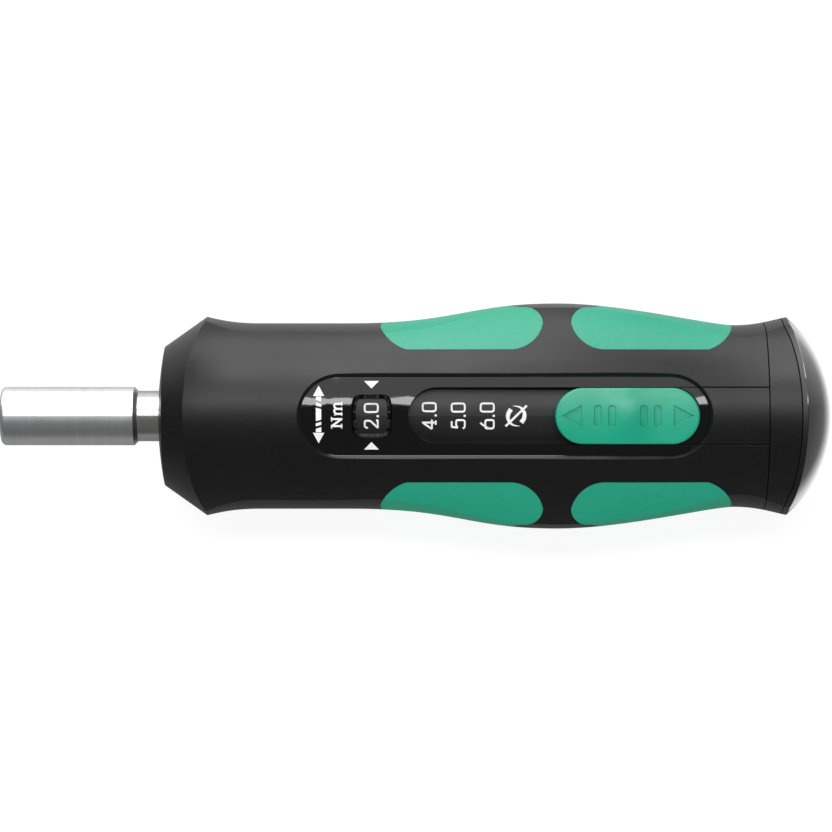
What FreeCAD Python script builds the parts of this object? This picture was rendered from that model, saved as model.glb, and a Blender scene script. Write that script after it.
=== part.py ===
"""Adjustable torque screwdriver with a slider-set torque and a bit holder sleeve.

Frame: the origin is on the tool's axis at the centre of the sleeve's mouth.  +X runs from the
mouth to the domed end, +Z points out of the broad face that carries the scale, and +Y is to the
left of someone who looks along +X with the scale up.  All sizes are in millimetres.

How it works: the spindle carries a cam with twelve notches.  Two rollers in sliding plungers
rest in opposite notches, and a leaf spring presses on each plunger.  The leaves are clamped at
the rear.  The carriage under the push button holds a shoe outside each leaf, so its place along
the tool sets the free length of the leaves, and with it the torque at which the rollers ride out
of their notches.  In the foremost step the carriage slips over the hub on the spindle's tail and
locks it for tightening or loosening by hand.
"""
import FreeCAD, Part
import math
import os

V = FreeCAD.Vector

# ---------------------------------------------------------------- driving dimensions
# clearances
SEAM_GAP = 0.15          # open seam between housing pieces
SLIDE_GAP = 0.3          # round each sliding piece inside the handle
SLOT_GAP = 0.12          # each side of the button in its slot
RUNNING_GAP = 0.03       # radial, shaft in bearing
SEAT_GAP = 0.02          # radial, pressed or bonded seats
END_PLAY = 0.1           # axial, between shoulders

# handle, outside
NOSE_X = 27.9            # centre of the slightly domed front face
NOSE_CROWN = 1.2         # height of that dome
NOSE_RADIUS = 12.4       # edge of the front face
RIDGE_X = 36.5           # sharp front ridge on the sides
RIDGE_RADIUS = 17.64
WAIST_START = 46.0       # straight front waist
WAIST_END = 62.0
WAIST_RADIUS = 16.48
BULGE_X = 98.6           # widest place of the palm bulge
BULGE_RADIUS = 20.0
REAR_WAIST_X = 130.0
REAR_WAIST_RADIUS = 16.14
REAR_RIDGE_X = 139.2     # where the end ring meets the dome on the sides
REAR_RIDGE_RADIUS = 17.57
DOME_RADIUS = 23.6       # sphere of the domed end
RING_X = 135.0           # seam between handle and end ring
DOME_WALL = 0.8          # thickness of the dome shell

# broad faces: half depth at the middle, and radius of the arc across
RIDGE_DEPTH = 15.2
WAIST_DEPTH = 13.8
BULGE_DEPTH = 14.2
REAR_WAIST_DEPTH = 13.85
REAR_RIDGE_DEPTH = 15.1
WAIST_ARC = 20.2
BULGE_ARC = 26.2
RIDGE_ARC = 21.0
BROAD_RIDGE_X = 33.0     # the front ridge at the middle of a broad face
BROAD_REAR_RIDGE_X = 141.5

# glossy scale panel, window, slot
PANEL_START = 52.6
PANEL_END = 125.4
PANEL_HALF = 7.6
PANEL_DEPTH = 0.65
PANEL_WALL = 0.75        # width of the sloped wall round the panel
PANEL_SLOPE = 0.85       # part of that wall that slopes
WINDOW_X = 65.8
WINDOW_LENGTH = 5.1
WINDOW_WIDTH = 6.1
WINDOW_FLARE = 1.05      # how far the funnel widens on each side
WINDOW_ROUND = 0.7
SLOT_HALF = 5.0
TONGUE = 0.6             # tongues that hold the slot closer
TONGUE_START = 0.8       # from the panel's end to the tongues
SLOT_END = 123.2         # the slot closer's hollow front end

# push button
BUTTON_LENGTH = 25.1
BUTTON_END_GAP = 0.35    # left at each end of the slot in the last step
BUTTON_RISE = 0.75       # above the panel floor
BUTTON_CROWN = 0.45      # height of its arc across
BUTTON_EDGE = 0.4        # rounding of its top edge
HUMP_HALF = 4.6          # half the length of the thumb hump
HUMP_RISE = 0.8
MARK_DEPTH = 0.25
MARK_HEIGHT = 3.8
BAR_WIDTH = 1.25
BAR_PLACES = (2.75, 5.2)  # from the button's middle
TRIANGLE_BACK = 8.0
TRIANGLE_TIP = 11.5

# scale
STEP_PITCH = 5.05        # slider travel from one setting to the next
STEPS = 5
STRIP_TOP = 12.0         # height of the strip's crown
STRIP_THICKNESS = 1.0
STRIP_HALF = 5.7
STRIP_LEAD = 3.3         # strip in front of the first number
STRIP_TAIL_GAP = 0.5     # between the strip's tail and the end ring

# soft grip zones
GRIP_DEPTH = 1.2
GRIP_INNER_Y = 11.6
GRIP_GAP_X = 98.25       # middle of the gap between front and rear zones
GRIP_GAP = 4.9
GRIP_STRAIGHT = 18.2     # length of the straight inner edge
GRIP_START = 8.2         # from the gap's middle to that edge
GRIP_TIP = 31.0          # from the gap's middle to the tip
GRIP_PARTING = 0.8       # half the hard strip along each side of the handle

# bit holder sleeve
SLEEVE_LENGTH = 24.3
SLEEVE_RADIUS = 5.2
SLEEVE_MOUTH_ROUND = 0.9
SLEEVE_REAR_CHAMFER = 0.75
HEX_AF = 6.42            # across the flats of the bit socket
HEX_DEPTH = 12.5
HEX_CHAMFER = 0.5
MAGNET_RADIUS = 2.75
MAGNET_LENGTH = 3.2
MAGNET_WALL = 0.1        # behind the end of the hexagon
RING_GROOVE_X = 8.6      # retaining ring in the socket wall
RING_WIRE = 0.45
RING_GRIP = 0.15         # how far it stands inside the flats
RING_SPLIT = 2.0

# spindle and its bearings
NECK_RADIUS = 4.49
STUB_RADIUS = 3.2        # front end, pressed into the sleeve
COLLAR_LENGTH = 2.3
COLLAR_RADIUS = 6.0
SEAT_AF = 7.5            # hexagonal seat of the cam
JOURNAL_RADIUS = 3.0
TAIL_RADIUS = 2.5
TAIL_END = 0.5           # tail behind the circlip
CIRCLIP = 0.7
CIRCLIP_DEPTH = 0.5
CIRCLIP_RADIUS = 3.5
BUSH_RADIUS = 6.4
BUSH_X = 28.9
BUSH_LENGTH = 7.8
BUSH_FLANGE_RADIUS = 8.0
BUSH_FLANGE = 1.1
WASHER_THICKNESS = 0.8
WASHER_RADIUS = 7.4

# cam, rollers, plungers
NOTCHES = 12
CAM_RADIUS = 7.0
CAM_LENGTH = 10.0
ROLLER_RADIUS = 1.5
ROLLER_SEAT = 7.55       # centre of a roller in its notch
ROLLER_LENGTH = 7.4
ROLLER_CLEAR = 0.06
PLUNGER_LENGTH = 8.0
PLUNGER_HALF = 2.8
PLUNGER_OUT = 10.15      # face that presses on the leaf
GUIDE_GAP = 0.1

# clutch frame
CAVITY_RADIUS = 11.2     # round bore of the handle
CAVITY_X = 41.6
FRONT_CAVITY_RADIUS = 8.3
FRAME_WALL = 4.0         # rear wall with the spindle's rear bearing
CAM_ROOM = 7.35          # round room for the cam

# leaves, their channels, their clamp
LEAF_IN = 10.3
LEAF_THICKNESS = 1.2
LEAF_HALF = 3.0
LEAF_X = 43.2
LEAF_END = 129.6
CHANNEL_HALF_HEIGHT = 5.4
CHANNEL_REACH = 13.2
ANCHOR_X = 124.2
ANCHOR_LENGTH = 6.6
LEAF_CORNER = 0.8
CLAMP_SCREW_RADIUS = 1.5
CLAMP_X = 127.2
CLAMP_BLIND = 2.0        # from the calibration screw to the clamp screws' holes
CLAMP_HEAD = 1.3
CLAMP_HEAD_RADIUS = 2.3

# lock hub and carriage
HUB_TEETH = 12
HUB_TIP = 4.5
HUB_ROOT = 3.8
HUB_GAP = 0.25
HUB_LENGTH = 7.0
HUB_TOOTHED = 4.0
NOSE_TEETH = 4.2
LOCK_CLEAR = 0.6         # between hub and carriage one step before the lock
CARRIAGE_RADIUS = 6.6
CARRIAGE_REAR = 3.7      # from the carriage's rear end to the anchor
SHOE_LENGTH = 6.0
SHOE_BACK = 2.5          # from the rear end of the carriage to its shoes
CARRIAGE_WALL = 1.6
FULCRUM_GAP = 0.1
NOTCH_DEPTH = 0.75       # V grooves that give the slider its steps
NOTCH_HALF = 1.6
NOTCH_RISE = 0.4         # how far the grooves' planes run on above the bore
CLICK_REACH = 16.5       # from the carriage's front end to the click spring's nose
PAD_SETBACK = 1.8
PAD_HALF = 4.4
CLICK_HALF = 1.6
CLICK_SPAN = 16.0        # from the click spring's fixed end to its nose
CLICK_FOOT = 4.0
CLICK_TOP = -9.0
CLICK_NOSE = 1.3
CLICK_THICKNESS = 0.4
CLICK_CLEAR = 0.16

# end ring, screws
SPIGOT_LENGTH = 3.4
RECESS_RADIUS = 9.0
RECESS_FLOOR = 1.3       # bulkhead behind the seam
CAL_RADIUS = 2.5
CAL_HEAD_RADIUS = 4.0
CAL_HEAD = 2.4
SCREW_SLOT = 0.9
SCREW_Y = 10.48
SCREW_Z = 8.19
SCREW_RADIUS = 1.25
SCREW_HEAD_RADIUS = 2.2
SCREW_HEAD = 1.6
SCREW_LENGTH = 8.0       # in the handle
SCREW_SEAT = 2.2         # from the recess floor to the screws' heads
DOME_SPIGOT_WALL = 1.3

# ---------------------------------------------------------------- worked-out places
TRAVEL = STEPS * STEP_PITCH
SLOT_START = SLOT_END - BUTTON_LENGTH - TRAVEL - 2 * BUTTON_END_GAP
BUTTON_END = SLOT_END - BUTTON_END_GAP
BUTTON_START = BUTTON_END - BUTTON_LENGTH
STRIP_START = WINDOW_X - STRIP_LEAD
STRIP_END = RING_X - STRIP_TAIL_GAP
ARC_CENTRE_Z = WAIST_DEPTH - WAIST_ARC       # centre of the arcs of the strip and its channel
STRIP_ARC = STRIP_TOP - ARC_CENTRE_Z
WAY_GAP = SLIDE_GAP - 0.05
DOME_X = REAR_RIDGE_X - math.sqrt(DOME_RADIUS ** 2 - REAR_RIDGE_RADIUS ** 2)
BUSH_END = BUSH_X + BUSH_LENGTH + BUSH_FLANGE
WASHER_X = BUSH_END + END_PLAY
COLLAR_X = WASHER_X + WASHER_THICKNESS + END_PLAY
CAM_X = COLLAR_X + COLLAR_LENGTH
CAM_END = CAM_X + CAM_LENGTH
FRAME_WALL_X = CAM_END + END_PLAY
FRAME_END = FRAME_WALL_X + FRAME_WALL
CAM_MID = CAM_X + CAM_LENGTH / 2
DETENT_LIFT = CAM_RADIUS + ROLLER_RADIUS - ROLLER_SEAT + ROLLER_CLEAR
HUB_X = FRAME_END + END_PLAY
HUB_END = HUB_X + HUB_LENGTH
CIRCLIP_X = HUB_END + SEAT_GAP
CARRIAGE_START = HUB_END + LOCK_CLEAR + (STEPS - 1) * STEP_PITCH
CARRIAGE_END = ANCHOR_X - CARRIAGE_REAR
SHOE_END = CARRIAGE_END - SHOE_BACK
CLICK_X = CARRIAGE_START + CLICK_REACH
LEAF_OUT = LEAF_IN + LEAF_THICKNESS


# ---------------------------------------------------------------- helpers
def rod(x0, x1, radius):
    """Round bar along the axis."""
    return Part.makeCylinder(radius, x1 - x0, V(x0, 0, 0), V(1, 0, 0))


def tube(x0, x1, outer, inner):
    return rod(x0, x1, outer).cut(rod(x0 - 1, x1 + 1, inner))


def block(x0, x1, y0, y1, z0, z1):
    return Part.makeBox(x1 - x0, y1 - y0, z1 - z0, V(x0, y0, z0))


def prism(points, direction):
    """Closed outline of points, pushed along direction."""
    wire = Part.makePolygon(points + points[:1])
    return Part.Face(wire).extrude(direction)


def racetrack(x0, x1, half, z0, z1):
    """Upright prism with semicircular ends."""
    a, b = x0 + half, x1 - half
    edges = [
        Part.makeLine(V(a, half, z0), V(b, half, z0)),
        Part.Arc(V(b, half, z0), V(x1, 0, z0), V(b, -half, z0)).toShape(),
        Part.makeLine(V(b, -half, z0), V(a, -half, z0)),
        Part.Arc(V(a, -half, z0), V(x0, 0, z0), V(a, half, z0)).toShape(),
    ]
    return Part.Face(Part.Wire(edges)).extrude(V(0, 0, z1 - z0))


def rounded_rectangle(x, length, width, corner, z):
    """Wire of a rectangle with round corners, centred on (x, 0)."""
    plate = block(x - length / 2, x + length / 2, -width / 2, width / 2, z, z + 1)
    uprights = [e for e in plate.Edges if abs(e.tangentAt(e.FirstParameter).z) > 0.5]
    plate = plate.makeFillet(corner, uprights)
    return min(plate.Faces, key=lambda f: f.CenterOfMass.z).OuterWire


def hexagon(x0, x1, across_flats):
    """Hexagonal bar along the axis, with two corners up and down."""
    corner = across_flats / math.sqrt(3)
    turns = [math.radians(30 + 60 * i) for i in range(6)]
    points = [V(x0, corner * math.cos(a), corner * math.sin(a)) for a in turns]
    return prism(points, V(x1 - x0, 0, 0))


def star(x0, x1, tip, root, teeth):
    """Bar with pointed teeth, the first one at +Y."""
    points = []
    for i in range(2 * teeth):
        radius = root if i % 2 else tip
        turn = math.pi * i / teeth
        points.append(V(x0, radius * math.cos(turn), radius * math.sin(turn)))
    return prism(points, V(x1 - x0, 0, 0))


def arc_band(x0, x1, inner, outer, half):
    """Strip that is curved across, between two arcs round the broad face's centre."""
    ring = Part.makeCylinder(outer, x1 - x0, V(x0, 0, ARC_CENTRE_Z), V(1, 0, 0))
    if inner > 0:
        ring = ring.cut(Part.makeCylinder(inner, x1 - x0, V(x0, 0, ARC_CENTRE_Z), V(1, 0, 0)))
    return ring.common(block(x0, x1, -half, half, 0, 40))


def mirrored_y(shape):
    return shape.mirror(V(0, 0, 0), V(0, 1, 0))


def union(shapes):
    return shapes[0].multiFuse(shapes[1:]).removeSplitter() if len(shapes) > 1 else shapes[0]


# ---------------------------------------------------------------- outer form of the handle
def curve(*poles):
    bezier = Part.BezierCurve()
    bezier.setPoles([V(x, 0, z) for x, z in poles])
    return bezier.toShape()


def turned_form(inset):
    """The handle's side outline, turned about the axis and drawn in by inset."""
    nose, ridge = NOSE_RADIUS - inset, RIDGE_RADIUS - inset
    waist, bulge = WAIST_RADIUS - inset, BULGE_RADIUS - inset
    rear, end = REAR_WAIST_RADIUS - inset, REAR_RIDGE_RADIUS - inset
    dome = DOME_RADIUS - inset
    end_x = DOME_X + math.sqrt(dome ** 2 - end ** 2)
    face = NOSE_X + inset
    edge = face + NOSE_CROWN
    swell, shrink = BULGE_X - WAIST_END, REAR_WAIST_X - BULGE_X
    flare = end_x - REAR_WAIST_X
    half_turn = math.asin(end / dome) / 2
    on_dome = V(DOME_X + dome * math.cos(half_turn), 0, dome * math.sin(half_turn))
    outline = [
        Part.Arc(V(face, 0, 0), V(face + NOSE_CROWN / 4, 0, nose / 2), V(edge, 0, nose)).toShape(),
        Part.makeLine(V(edge, 0, nose), V(RIDGE_X, 0, ridge)),
        curve((RIDGE_X, ridge), (RIDGE_X + 3, ridge - 0.75), (WAIST_START - 4, waist), (WAIST_START, waist)),
        Part.makeLine(V(WAIST_START, 0, waist), V(WAIST_END, 0, waist)),
        curve((WAIST_END, waist), (WAIST_END + 0.52 * swell, waist), (BULGE_X - 0.44 * swell, bulge),
              (BULGE_X, bulge)),
        curve((BULGE_X, bulge), (BULGE_X + 0.38 * shrink, bulge), (REAR_WAIST_X - 0.14 * shrink, rear),
              (REAR_WAIST_X, rear)),
        curve((REAR_WAIST_X, rear), (REAR_WAIST_X + 0.45 * flare, rear),
              (end_x - 0.25 * flare, end - 0.45), (end_x, end)),
        Part.Arc(V(end_x, 0, end), on_dome, V(DOME_X + dome, 0, 0)).toShape(),
        Part.makeLine(V(DOME_X + dome, 0, 0), V(face, 0, 0)),
    ]
    return Part.Face(Part.Wire(outline)).revolve(V(0, 0, 0), V(1, 0, 0), 360)


def broad_section(x, depth, arc):
    """Lens-shaped section: two shallow arcs that meet at the sides."""
    side = math.sqrt(arc ** 2 - (arc - depth) ** 2)
    top = Part.Arc(V(x, -side, 0), V(x, 0, depth), V(x, side, 0)).toShape()
    bottom = Part.Arc(V(x, side, 0), V(x, 0, -depth), V(x, -side, 0)).toShape()
    return Part.Wire([top, bottom])


def broad_form(inset):
    """The flat-sided form between the two broad faces, drawn in by inset."""
    front, rear = RIDGE_DEPTH - WAIST_DEPTH, REAR_RIDGE_DEPTH - REAR_WAIST_DEPTH
    front_run, rear_run = WAIST_START - BROAD_RIDGE_X, BROAD_REAR_RIDGE_X - REAR_WAIST_X
    half_arc = (WAIST_ARC + BULGE_ARC) / 2
    stations = [
        (BROAD_RIDGE_X - 0.46 * front_run, RIDGE_DEPTH + 1.4 * front, RIDGE_ARC),
        (BROAD_RIDGE_X, RIDGE_DEPTH, RIDGE_ARC),
        (BROAD_RIDGE_X + 0.3 * front_run, WAIST_DEPTH + 0.4 * front, WAIST_ARC),
        (BROAD_RIDGE_X + 0.6 * front_run, WAIST_DEPTH + 0.1 * front, WAIST_ARC),
        (WAIST_START, WAIST_DEPTH, WAIST_ARC),
        (WAIST_END, WAIST_DEPTH, WAIST_ARC),
        ((WAIST_END + BULGE_X) / 2, (WAIST_DEPTH + BULGE_DEPTH) / 2, half_arc),
        (BULGE_X, BULGE_DEPTH, BULGE_ARC),
        ((BULGE_X + REAR_WAIST_X) / 2, (REAR_WAIST_DEPTH + BULGE_DEPTH) / 2, half_arc),
        (REAR_WAIST_X, REAR_WAIST_DEPTH, WAIST_ARC),
        (REAR_WAIST_X + 0.5 * rear_run, REAR_WAIST_DEPTH + 0.3 * rear, WAIST_ARC),
        (BROAD_REAR_RIDGE_X, REAR_RIDGE_DEPTH, RIDGE_ARC),
        (BROAD_REAR_RIDGE_X + 0.7 * rear_run, REAR_RIDGE_DEPTH + 1.2 * rear, RIDGE_ARC),
    ]
    wires = [broad_section(x, depth - inset, arc - inset) for x, depth, arc in stations]
    return Part.makeLoft(wires, True, False)


def handle_form(inset=0.0):
    """Whole closed handle with end ring and dome, drawn in by inset."""
    return turned_form(inset).common(broad_form(inset))


# ---------------------------------------------------------------- housing
def strip_way(gap, x0, x1):
    """Curved room that the scale strip slides in, as a solid."""
    outer = STRIP_ARC + gap
    return arc_band(x0, x1, outer - STRIP_THICKNESS - 2 * gap, outer, STRIP_HALF + gap)


def on_skin(edge, skin):
    """Whether the middle of an edge lies on a shell."""
    middle = edge.valueAt((edge.FirstParameter + edge.LastParameter) / 2)
    return skin.distToShape(Part.Vertex(middle))[0] < 0.001


def panelled_form():
    """Handle form with the glossy panel sunk in and its wall sloped."""
    form = handle_form()
    cutter = racetrack(PANEL_START + PANEL_WALL, PANEL_END - PANEL_WALL,
                       PANEL_HALF - PANEL_WALL, 0, RIDGE_DEPTH + 1)
    sunk = form.cut(cutter.cut(handle_form(PANEL_DEPTH)))
    panel = block(PANEL_START, PANEL_END, -PANEL_HALF, PANEL_HALF, 0, RIDGE_DEPTH + 1).BoundBox
    rim = [e for e in sunk.Edges if panel.isInside(e.BoundBox) and on_skin(e, form.Shells[0])]
    return sunk.makeChamfer(PANEL_SLOPE * min(PANEL_WALL, PANEL_DEPTH), rim)


def closer_space(gap):
    """Room of the slot closer: the slot's width, with a tongue along each side."""
    top = RIDGE_DEPTH + 1
    slot = block(SLOT_END - SLOT_HALF, RING_X, gap - SLOT_HALF, SLOT_HALF - gap, 0, top)
    slot = slot.cut(racetrack(SLOT_START, SLOT_END, SLOT_HALF, 0, top))
    slot = slot.common(block(SLOT_END - SLOT_HALF, RING_X, -SLOT_HALF, SLOT_HALF, 0, top))
    lower = STRIP_ARC + WAY_GAP
    tongue = arc_band(PANEL_END + TONGUE_START, RING_X, lower, lower + TONGUE - gap,
                      SLOT_HALF + TONGUE - gap)
    return slot.cut(arc_band(0, RING_X + 1, 0, lower, SLOT_HALF + 1)).fuse(tongue)


def handle_cavity():
    """Everything that is hollow inside the handle."""
    rear = RING_X + 1
    wall = block(CAVITY_X, rear, -CHANNEL_REACH, CHANNEL_REACH, -CHANNEL_HALF_HEIGHT, CHANNEL_HALF_HEIGHT)
    way_x = STRIP_START - TRAVEL - SLIDE_GAP
    hollows = [
        rod(CAVITY_X, rear, CAVITY_RADIUS),
        wall,
        rod(BUSH_X + BUSH_LENGTH, CAVITY_X + 1, FRONT_CAVITY_RADIUS),
        rod(BUSH_X, BUSH_X + BUSH_LENGTH + 1, BUSH_RADIUS + SEAT_GAP),
        rod(NOSE_X - 1, BUSH_X + 1, NECK_RADIUS + SLIDE_GAP),
        strip_way(WAY_GAP, way_x, rear),
    ]
    hollows += [click_notch(CLICK_X - i * STEP_PITCH) for i in range(STEPS + 1)]
    return hollows


def click_notch(x):
    """V groove across the bottom of the bore, for the click spring."""
    bottom = -CAVITY_RADIUS - NOTCH_DEPTH
    top = -CAVITY_RADIUS + NOTCH_RISE
    half = NOTCH_HALF * (top - bottom) / NOTCH_DEPTH
    width = CLICK_HALF + SLIDE_GAP
    points = [V(x - half, -width, top), V(x, -width, bottom), V(x + half, -width, top)]
    return prism(points, V(0, 2 * width, 0))


def screw_places():
    return [(sy * SCREW_Y, sz * SCREW_Z) for sy in (1, -1) for sz in (1, -1)]


def along(x0, x1, radius, y, z):
    return Part.makeCylinder(radius, x1 - x0, V(x0, y, z), V(1, 0, 0))


def grip_outline(side, end):
    """Upright prism of one soft zone; side is +1 left or -1 right, end +1 rear or -1 front."""
    x0 = GRIP_GAP_X
    far_y = BULGE_RADIUS + 2
    round_x = GRIP_GAP / 2

    def at(dx, y):
        return V(x0 + end * dx, side * y, 0)

    inner = GRIP_INNER_Y
    start, stop = GRIP_START, GRIP_START + GRIP_STRAIGHT
    low, mid, high = at(start, inner), at(round_x + 1.5, inner + 1.85), at(round_x, inner + 4.7)
    tip = at(GRIP_TIP, inner + 4.1)
    edges = [
        Part.makeLine(at(stop, inner), low),
        Part.Arc(low, mid, high).toShape(),
        Part.Arc(high, at(round_x + 0.95, inner + 6.75), at(round_x + 3.5, inner + 7.55)).toShape(),
        Part.makeLine(at(round_x + 3.5, inner + 7.55), at(start + 1.5, inner + 8.1)),
        Part.makeLine(at(start + 1.5, inner + 8.1), at(start + 1.5, far_y)),
        Part.makeLine(at(start + 1.5, far_y), at(GRIP_TIP - 1.4, far_y)),
        Part.makeLine(at(GRIP_TIP - 1.4, far_y), at(GRIP_TIP - 1.4, inner + 5.3)),
        Part.Arc(at(GRIP_TIP - 1.4, inner + 5.3), at(GRIP_TIP - 0.4, inner + 4.9), tip).toShape(),
        Part.Arc(tip, at(GRIP_TIP - 1.9, inner + 1.5), at(stop, inner)).toShape(),
    ]
    face = Part.Face(Part.Wire(edges))
    return face.extrude(V(0, 0, RIDGE_DEPTH + 2))


def grips(form, floor):
    """The eight soft zones by name: left and right, front and rear, scale side and back."""
    zones = {}
    parting = V(0, 0, GRIP_PARTING)
    for side, side_name in ((1, "left"), (-1, "right")):
        for end, end_name in ((-1, "front"), (1, "rear")):
            prism_up = grip_outline(side, end)
            prism_up.translate(parting)
            zone = form.common(prism_up).cut(floor)
            zones[f"grip_scale_{end_name}_{side_name}"] = zone
            zones[f"grip_back_{end_name}_{side_name}"] = zone.mirror(V(0, 0, 0), V(0, 0, 1))
    return zones


def grip_pockets(floor):
    """Pockets that the soft zones fill."""
    tools = []
    for side in (1, -1):
        for end in (1, -1):
            tool = grip_outline(side, end)
            tool.translate(V(0, 0, GRIP_PARTING))
            tool = tool.cut(floor)
            tools += [tool, tool.mirror(V(0, 0, 0), V(0, 0, 1))]
    return tools


def window_cut():
    """Funnel-shaped window through the panel's floor."""
    top = WAIST_DEPTH - PANEL_DEPTH + 0.1
    bottom = STRIP_TOP
    outer = rounded_rectangle(WINDOW_X, WINDOW_LENGTH + 2 * WINDOW_FLARE,
                              WINDOW_WIDTH + 2 * WINDOW_FLARE, WINDOW_ROUND + 0.9, top)
    inner = rounded_rectangle(WINDOW_X, WINDOW_LENGTH, WINDOW_WIDTH, WINDOW_ROUND, bottom)
    return Part.makeLoft([inner, outer], True, True)


def housing():
    """Handle body, slot closer, end ring and dome, in one closed outer form."""
    form = panelled_form()
    grip_floor = handle_form(GRIP_DEPTH)
    dome_skin = Part.makeSphere(DOME_RADIUS - DOME_WALL, V(DOME_X, 0, 0))
    shell = form.common(block(0, RING_X - SEAM_GAP / 2, -40, 40, -40, 40))

    closer = shell.common(closer_space(SEAT_GAP + 0.03))
    slot = racetrack(SLOT_START, SLOT_END, SLOT_HALF, STRIP_TOP - 1, RIDGE_DEPTH + 1)
    screws = [along(RING_X - SCREW_LENGTH, RING_X + 1, SCREW_RADIUS + SEAT_GAP, y, z)
              for y, z in screw_places()]
    cuts = handle_cavity() + grip_pockets(grip_floor) + screws + [closer_space(0), slot, window_cut()]
    body = shell.cut(cuts)

    end = form.common(block(RING_X + SEAM_GAP / 2, RING_X + 40, -40, 40, -40, 40))
    ring = end.common(Part.makeSphere(DOME_RADIUS - DOME_WALL - SEAM_GAP, V(DOME_X, 0, 0)))
    spigot_x = RING_X - SPIGOT_LENGTH
    ring = ring.fuse(rod(spigot_x, RING_X + 1, CAVITY_RADIUS - SEAT_GAP))
    floor_x = RING_X + RECESS_FLOOR
    head_x = floor_x + SCREW_SEAT
    ring = ring.cut([rod(floor_x, RING_X + 40, RECESS_RADIUS), rod(spigot_x - 1, floor_x + 1, CAL_RADIUS + RUNNING_GAP),
                     strip_way(WAY_GAP, spigot_x - 1, RING_X)]
                    + [along(spigot_x, RING_X + 20, SCREW_RADIUS + SEAT_GAP, y, z) for y, z in screw_places()]
                    + [along(head_x, RING_X + 20, SCREW_HEAD_RADIUS + SEAT_GAP, y, z) for y, z in screw_places()])

    dome = end.cut(dome_skin)
    spigot = tube(floor_x + SEAM_GAP, DOME_X + DOME_RADIUS, RECESS_RADIUS - SEAT_GAP, RECESS_RADIUS - DOME_SPIGOT_WALL)
    dome = dome.fuse(spigot.common(Part.makeSphere(DOME_RADIUS - DOME_WALL / 2, V(DOME_X, 0, 0))))
    pieces = {"handle_body": body, "slot_closer": closer, "end_ring": ring, "end_dome": dome}
    pieces.update(grips(form, grip_floor))
    return pieces


# ---------------------------------------------------------------- push button and scale
def button_section(x, crown, edge):
    """Upright section of the button at x, crowned across."""
    half = SLOT_HALF + 0.5
    bottom = STRIP_TOP - 1.5
    points = [V(x, -half, edge), V(x, -half, bottom), V(x, half, bottom), V(x, half, edge)]
    sides = [Part.makeLine(a, b) for a, b in zip(points, points[1:])]
    top = Part.Arc(points[3], V(x, 0, crown), points[0]).toShape()
    return Part.Wire(sides + [top])


def button_block():
    """Crowned bar with the thumb hump in its middle."""
    middle = (BUTTON_START + BUTTON_END) / 2
    crown = BULGE_DEPTH - PANEL_DEPTH + BUTTON_RISE
    edge = crown - BUTTON_CROWN
    end = BUTTON_LENGTH / 2 + 1
    rises = [(-end, 0), (-1.7 * HUMP_HALF, 0), (-HUMP_HALF, 0.04), (-HUMP_HALF / 2, 0.55), (0, 1),
             (HUMP_HALF / 2, 0.55), (HUMP_HALF, 0.04), (1.7 * HUMP_HALF, 0), (end, 0)]
    sections = [button_section(middle + dx, crown + HUMP_RISE * part, edge + HUMP_RISE * part * 0.3)
                for dx, part in rises]
    return Part.makeLoft(sections, True, False)


def button_marks():
    """Outlines of the four bars and two triangles that are sunk into the button."""
    middle = (BUTTON_START + BUTTON_END) / 2
    half = MARK_HEIGHT / 2
    high = BULGE_DEPTH + 3
    marks = []
    for side in (-1, 1):
        for distance in BAR_PLACES:
            x = middle + side * distance
            bar = racetrack(-half, half, BAR_WIDTH / 2, 0, high)
            bar.rotate(V(0, 0, 0), V(0, 0, 1), 90)
            bar.translate(V(x, 0, 0))
            marks.append(bar)
        back, tip = middle + side * TRIANGLE_BACK, middle + side * TRIANGLE_TIP
        marks.append(prism([V(back, -half, 0), V(tip, 0, 0), V(back, half, 0)], V(0, 0, high)))
    return marks


def selector_button():
    block_form = button_block()
    outline = racetrack(BUTTON_START, BUTTON_END, SLOT_HALF - SLOT_GAP, 0, BULGE_DEPTH + 3)
    button = block_form.common(outline)
    rim = [e for e in button.Edges if e.BoundBox.ZMin > STRIP_TOP + BUTTON_EDGE and e.Length > 2]
    button = button.makeFillet(BUTTON_EDGE, rim)
    floor = block_form.translated(V(0, 0, -MARK_DEPTH))
    button = button.cut([mark.cut(floor) for mark in button_marks()])
    return button.cut(arc_band(BUTTON_START - 1, BUTTON_END + 1, 0, STRIP_ARC + SEAT_GAP, SLOT_HALF + 1))


def scale_strip():
    strip = arc_band(STRIP_START, STRIP_END, STRIP_ARC - STRIP_THICKNESS, STRIP_ARC, STRIP_HALF)
    return strip


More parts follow.
